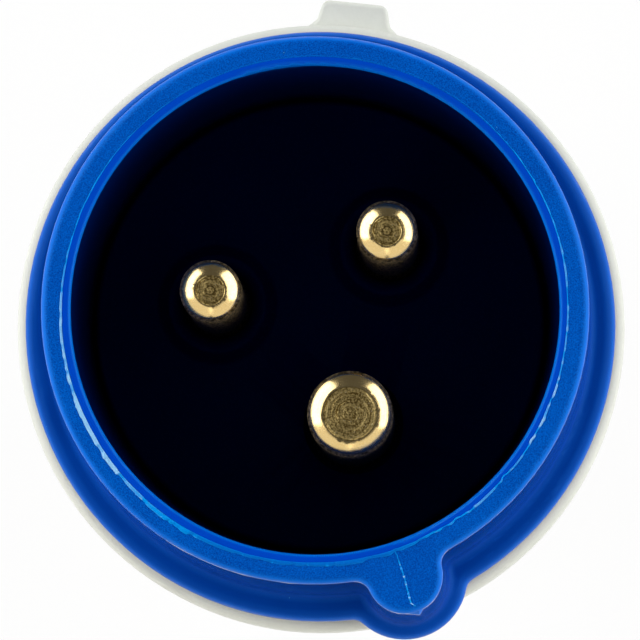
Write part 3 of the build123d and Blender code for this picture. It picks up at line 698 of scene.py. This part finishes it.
RUBBER = moulding("black_rubber", rgba(30, 30, 32), roughness=0.6, grain_depth=0.015 * MM)
NYLON = moulding("white_nylon", rgba(226, 225, 216), roughness=0.35, grain_depth=0.005 * MM)
INSULATOR = moulding("grey_insulator", rgba(148, 150, 153), roughness=0.45, grain_depth=0.008 * MM)
dressed("pin_retainer", INSULATOR)
dressed("housing_seal", RUBBER)
dressed("gland_bush", RUBBER)
dressed("gland_slip_ring", NYLON)
dressed("gland_collet", NYLON)


# Screws and wire leaves: zinc-plated steel screws, and leaves cut from bright spring strip.
# Each terminal screw presses its leaf on the wire, and the retainer screws hold the retainer on the carrier.
ZINC_DARK, ZINC_LIGHT = rgba(186, 188, 190), rgba(222, 223, 224)
ZINC_CLOUD_SIZE = 0.9 * MM
ZINC_GRAIN_SIZE, ZINC_GRAIN_DEPTH = 0.06 * MM, 0.002 * MM


def plated_steel():
    """Bright zinc, a little cloudy, with a very fine grain."""
    shader = Shader("plated_steel")
    cloud = shader.noise(ZINC_CLOUD_SIZE, detail=3.0)
    grain = shader.noise(ZINC_GRAIN_SIZE, seed=8.0)
    colour = shader.blend(cloud, ZINC_DARK, ZINC_LIGHT)
    return shader.finish(
        Base_Color=colour,
        Metallic=1.0,
        Roughness=0.22 + 0.16 * cloud,
        Normal=shader.bump(grain, ZINC_GRAIN_DEPTH),
    )


STEEL = plated_steel()
for pole in ("line", "neutral", "earth"):
    dressed(pole + "_terminal_screw", STEEL)
    dressed(pole + "_wire_leaf", STEEL)
for place in ("top", "left", "right"):
    dressed("retainer_screw_" + place, STEEL)


# Studio: a white floor and a white surround for the camera and for reflections.
# Two large softboxes light the plug from the sides, two warm reflectors fill in from the key's side,
# and the ceiling is dark.
FLOOR_REACH = 3.0
FLOOR_SHADOW = 0.07
AMBIENT = 0.08
HORIZON = 0.03
LAMP_DISTANCE = 1.0
WHITE = (1.0, 1.0, 1.0, 1.0)
WHITE_LIGHT, WARM_LIGHT = (1.0, 1.0, 1.0), (1.0, 0.95, 0.86)
LAMPS = (
    ("left_softbox", 158, 23, (1.3, 1.0), 2.9, WHITE_LIGHT),
    ("right_softbox", 17, 23, (1.3, 1.0), 2.7, WHITE_LIGHT),
    ("low_left_reflector", 230, 28, (1.36, 1.2), 0.78, WARM_LIGHT),
    ("low_right_reflector", 308, 28, (1.24, 1.2), 0.78, WARM_LIGHT),
)

floor_mesh = bpy.data.meshes.new("floor")
floor_corners = [(x * FLOOR_REACH, y * FLOOR_REACH, 0.0) for x, y in ((-1, -1), (1, -1), (1, 1), (-1, 1))]
floor_mesh.from_pydata(floor_corners, [], [(0, 1, 2, 3)])
floor = bpy.data.objects.new("floor", floor_mesh)
bpy.context.scene.collection.objects.link(floor)


def looked_at(shader):
    """1 for what the camera, a reflection or clear stuff shows, 0 for what lights the plug."""
    camera_ray = shader.node("LightPath", output="Is Camera Ray")
    glossy_ray = shader.node("LightPath", output="Is Glossy Ray")
    clear_ray = shader.node("LightPath", output="Is Transmission Ray")
    return shader.math("MAXIMUM", camera_ray, shader.math("MAXIMUM", glossy_ray, clear_ray))


paper = Shader("floor_paper")
lit = paper.node("BsdfDiffuse", None, {"Color": rgba(242, 242, 242)})
glow = paper.node("Emission", None, {"Color": WHITE, "Strength": 1.0})
paper.close(paper.node("MixShader", None, {0: looked_at(paper) * (1 - FLOOR_SHADOW), 1: lit, 2: glow}))
floor_mesh.materials.append(paper.material)


class Surround(Shader):
    """The world's node tree, with the same calls as a material's."""

    def __init__(self, world):
        world.use_nodes = True
        self.tree = world.node_tree
        self.tree.nodes.clear()

    def close(self, surface):
        end = self.tree.nodes.new("ShaderNodeOutputWorld")
        self.tree.links.new(surface.socket, end.inputs["Surface"])


studio = bpy.data.worlds.new("studio")
bpy.context.scene.world = studio
surround = Surround(studio)
upward = surround.split(surround.node("TexCoord", output="Generated"))[2]
room = surround.node("Background", None, {"Color": WHITE, "Strength": AMBIENT})
white = surround.node("Background", None, {"Color": WHITE, "Strength": 1.0})
seen_white = surround.node("LightPath", output="Is Camera Ray")
glossy = surround.node("LightPath", output="Is Glossy Ray")
clear = surround.node("LightPath", output="Is Transmission Ray")
reflected = surround.math("MAXIMUM", glossy, clear)
low_white = reflected * surround.ramp(upward, 0.0, HORIZON, 1.0, 0.0)
shown = surround.math("MAXIMUM", seen_white, low_white)
surround.close(surround.node("MixShader", None, {0: shown, 1: room, 2: white}))

picture_right = camera_turn @ Vector((1, 0, 0))
picture_up = camera_turn @ Vector((0, 1, 0))


def softbox(name, turn, rise, size, radiance, colour):
    """Area lamp at an angle round the picture and a rise over the mouth, in degrees, aimed at the mouth."""
    flat = (picture_right * cos(radians(turn)) + picture_up * sin(radians(turn))).normalized()
    aim = Vector((0, 0, RIM_Z))
    away = flat * cos(radians(rise)) + Vector((0, 0, sin(radians(rise))))
    place = aim + away * LAMP_DISTANCE
    lamp = bpy.data.lights.new(name, "AREA")
    lamp.shape = "RECTANGLE"
    lamp.size, lamp.size_y = size
    lamp.energy = radiance * pi * size[0] * size[1]
    lamp.color = colour
    holder = bpy.data.objects.new(name, lamp)
    turned = (place - aim).to_track_quat("Z", "Y").to_matrix().to_4x4()
    holder.matrix_world = Matrix.Translation(place) @ turned
    holder.visible_camera = False
    bpy.context.scene.collection.objects.link(holder)


for row in LAMPS:
    softbox(*row)
